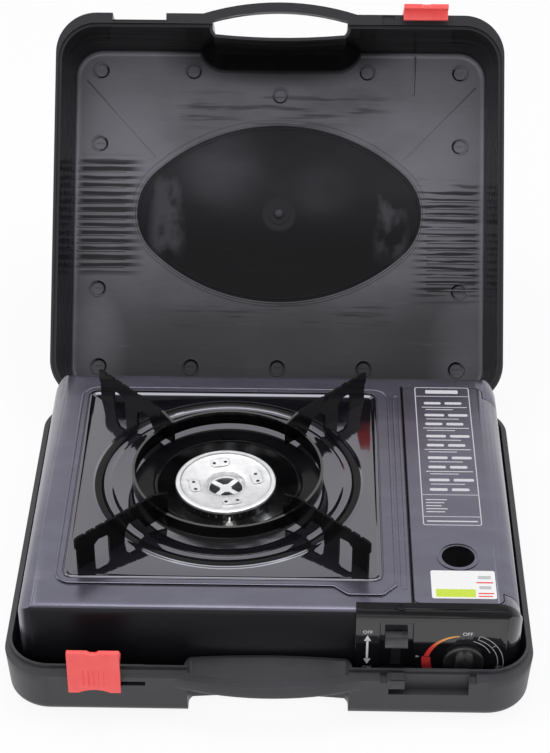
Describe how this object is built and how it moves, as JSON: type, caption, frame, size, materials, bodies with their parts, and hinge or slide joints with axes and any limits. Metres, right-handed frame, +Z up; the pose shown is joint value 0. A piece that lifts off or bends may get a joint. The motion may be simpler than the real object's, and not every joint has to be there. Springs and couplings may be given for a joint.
{
  "type": "butane cassette stove",
  "caption": "Table-top gas stove with a drip pan, pan support, canister cover, dial and lock lever, standing in its open carrying case with sliding latches.",
  "frame": {"origin": "middle of the underside of the case's bottom half, where it stands on the table", "axes": "+X to the stove's canister side, which is the right for the person who cooks, +Y towards the case hinge, +Z up"},
  "size_m": [0.378, 0.6008, 0.306],
  "materials": {
    "case_plastic": "moulded, satin",
    "lid_plastic": "moulded, satin",
    "latch_plastic": "moulded, semi-gloss",
    "hinge_steel": "drawn wire",
    "black_enamel": "gloss enamel",
    "pan_enamel": "gloss enamel",
    "support_enamel": "satin enamel",
    "zinc_sheet": "galvanised",
    "burner_alloy": "machined",
    "cast_alloy": "die cast",
    "brass_fittings": "turned",
    "black_plastic": "moulded, gloss",
    "dark_plastic": "moulded, matte",
    "foot_rubber": "matte",
    "white_ceramic": "glazed",
    "lead_sleeve": "silicone sleeve",
    "screw_steel": "polished"
  },
  "bodies": {
    "case_base": {"case_base": "case_plastic", "case_hinge_pins": "hinge_steel"},
    "case_lid": {"case_lid": "lid_plastic"},
    "base_latch": {"base_latch": "latch_plastic"},
    "lid_latch": {"lid_latch": "latch_plastic"},
    "stove": {"body_shell": "black_enamel", "bottom_plate": "zinc_sheet", "stove_feet": "foot_rubber", "partition_plate": "zinc_sheet", "cover_hinge_pins": "hinge_steel", "control_panel": "black_plastic", "panel_screw": "screw_steel", "regulator_body": "cast_alloy", "canister_socket": "brass_fittings", "injector": "brass_fittings", "mixing_tube": "zinc_sheet", "air_shutter": "zinc_sheet", "burner_bowl": "cast_alloy", "burner_head": "burner_alloy", "burner_bracket": "zinc_sheet", "electrode": "white_ceramic", "piezo_igniter": "dark_plastic", "igniter_lead": "lead_sleeve", "carriage_guides": "zinc_sheet"},
    "canister_cover": {"canister_cover": "black_enamel"},
    "control_knob": {"control_knob": "black_plastic", "valve_spindle": "brass_fittings"},
    "lock_lever": {"lock_lever": "dark_plastic"},
    "canister_carriage": {"canister_carriage": "zinc_sheet"},
    "drip_pan": {"drip_pan": "pan_enamel"},
    "pan_support": {"pan_support": "support_enamel"}
  },
  "joints": [
    {"name": "lid_hinge", "type": "hinge", "parent": "case_base", "child": "case_lid", "pos_m": [0, 0.166, 0.035], "axis": [-1, 0, 0], "range_deg": [-129.41, 0]},
    {"name": "base_latch_slide", "type": "slide", "parent": "case_base", "child": "base_latch", "axis": [1, 0, 0], "range_m": [0, 0.016]},
    {"name": "lid_latch_slide", "type": "slide", "parent": "case_lid", "child": "lid_latch", "axis": [-1, 0, 0], "range_m": [0, 0.016]},
    {"name": "stove_lift", "type": "slide", "parent": "case_base", "child": "stove", "axis": [0, 0, 1], "range_m": [0, 0.12]},
    {"name": "cover_hinge", "type": "hinge", "parent": "stove", "child": "canister_cover", "pos_m": [0.1765, 0, 0.0465], "axis": [0, 1, 0], "range_deg": [0, 95]},
    {"name": "knob_turn", "type": "hinge", "parent": "stove", "child": "control_knob", "pos_m": [0.1385, -0.1405, 0.035], "axis": [0, -1, 0], "range_deg": [0, 110]},
    {"name": "lock_lever_slide", "type": "slide", "parent": "stove", "child": "lock_lever", "axis": [0, 0, -1], "range_m": [0, 0.022]},
    {"name": "carriage_slide", "type": "slide", "parent": "stove", "child": "canister_carriage", "axis": [0, -1, 0], "range_m": [0, 0.01]},
    {"name": "pan_lift", "type": "slide", "parent": "stove", "child": "drip_pan", "axis": [0, 0, 1], "range_m": [0, 0.06]},
    {"name": "pan_support_lift", "type": "slide", "parent": "drip_pan", "child": "pan_support", "axis": [0, 0, 1], "range_m": [0, 0.04]}
  ],
  "couplings": [
    {"joint": "carriage_slide", "follows": "lock_lever_slide", "ratio": 0.45454}
  ]
}
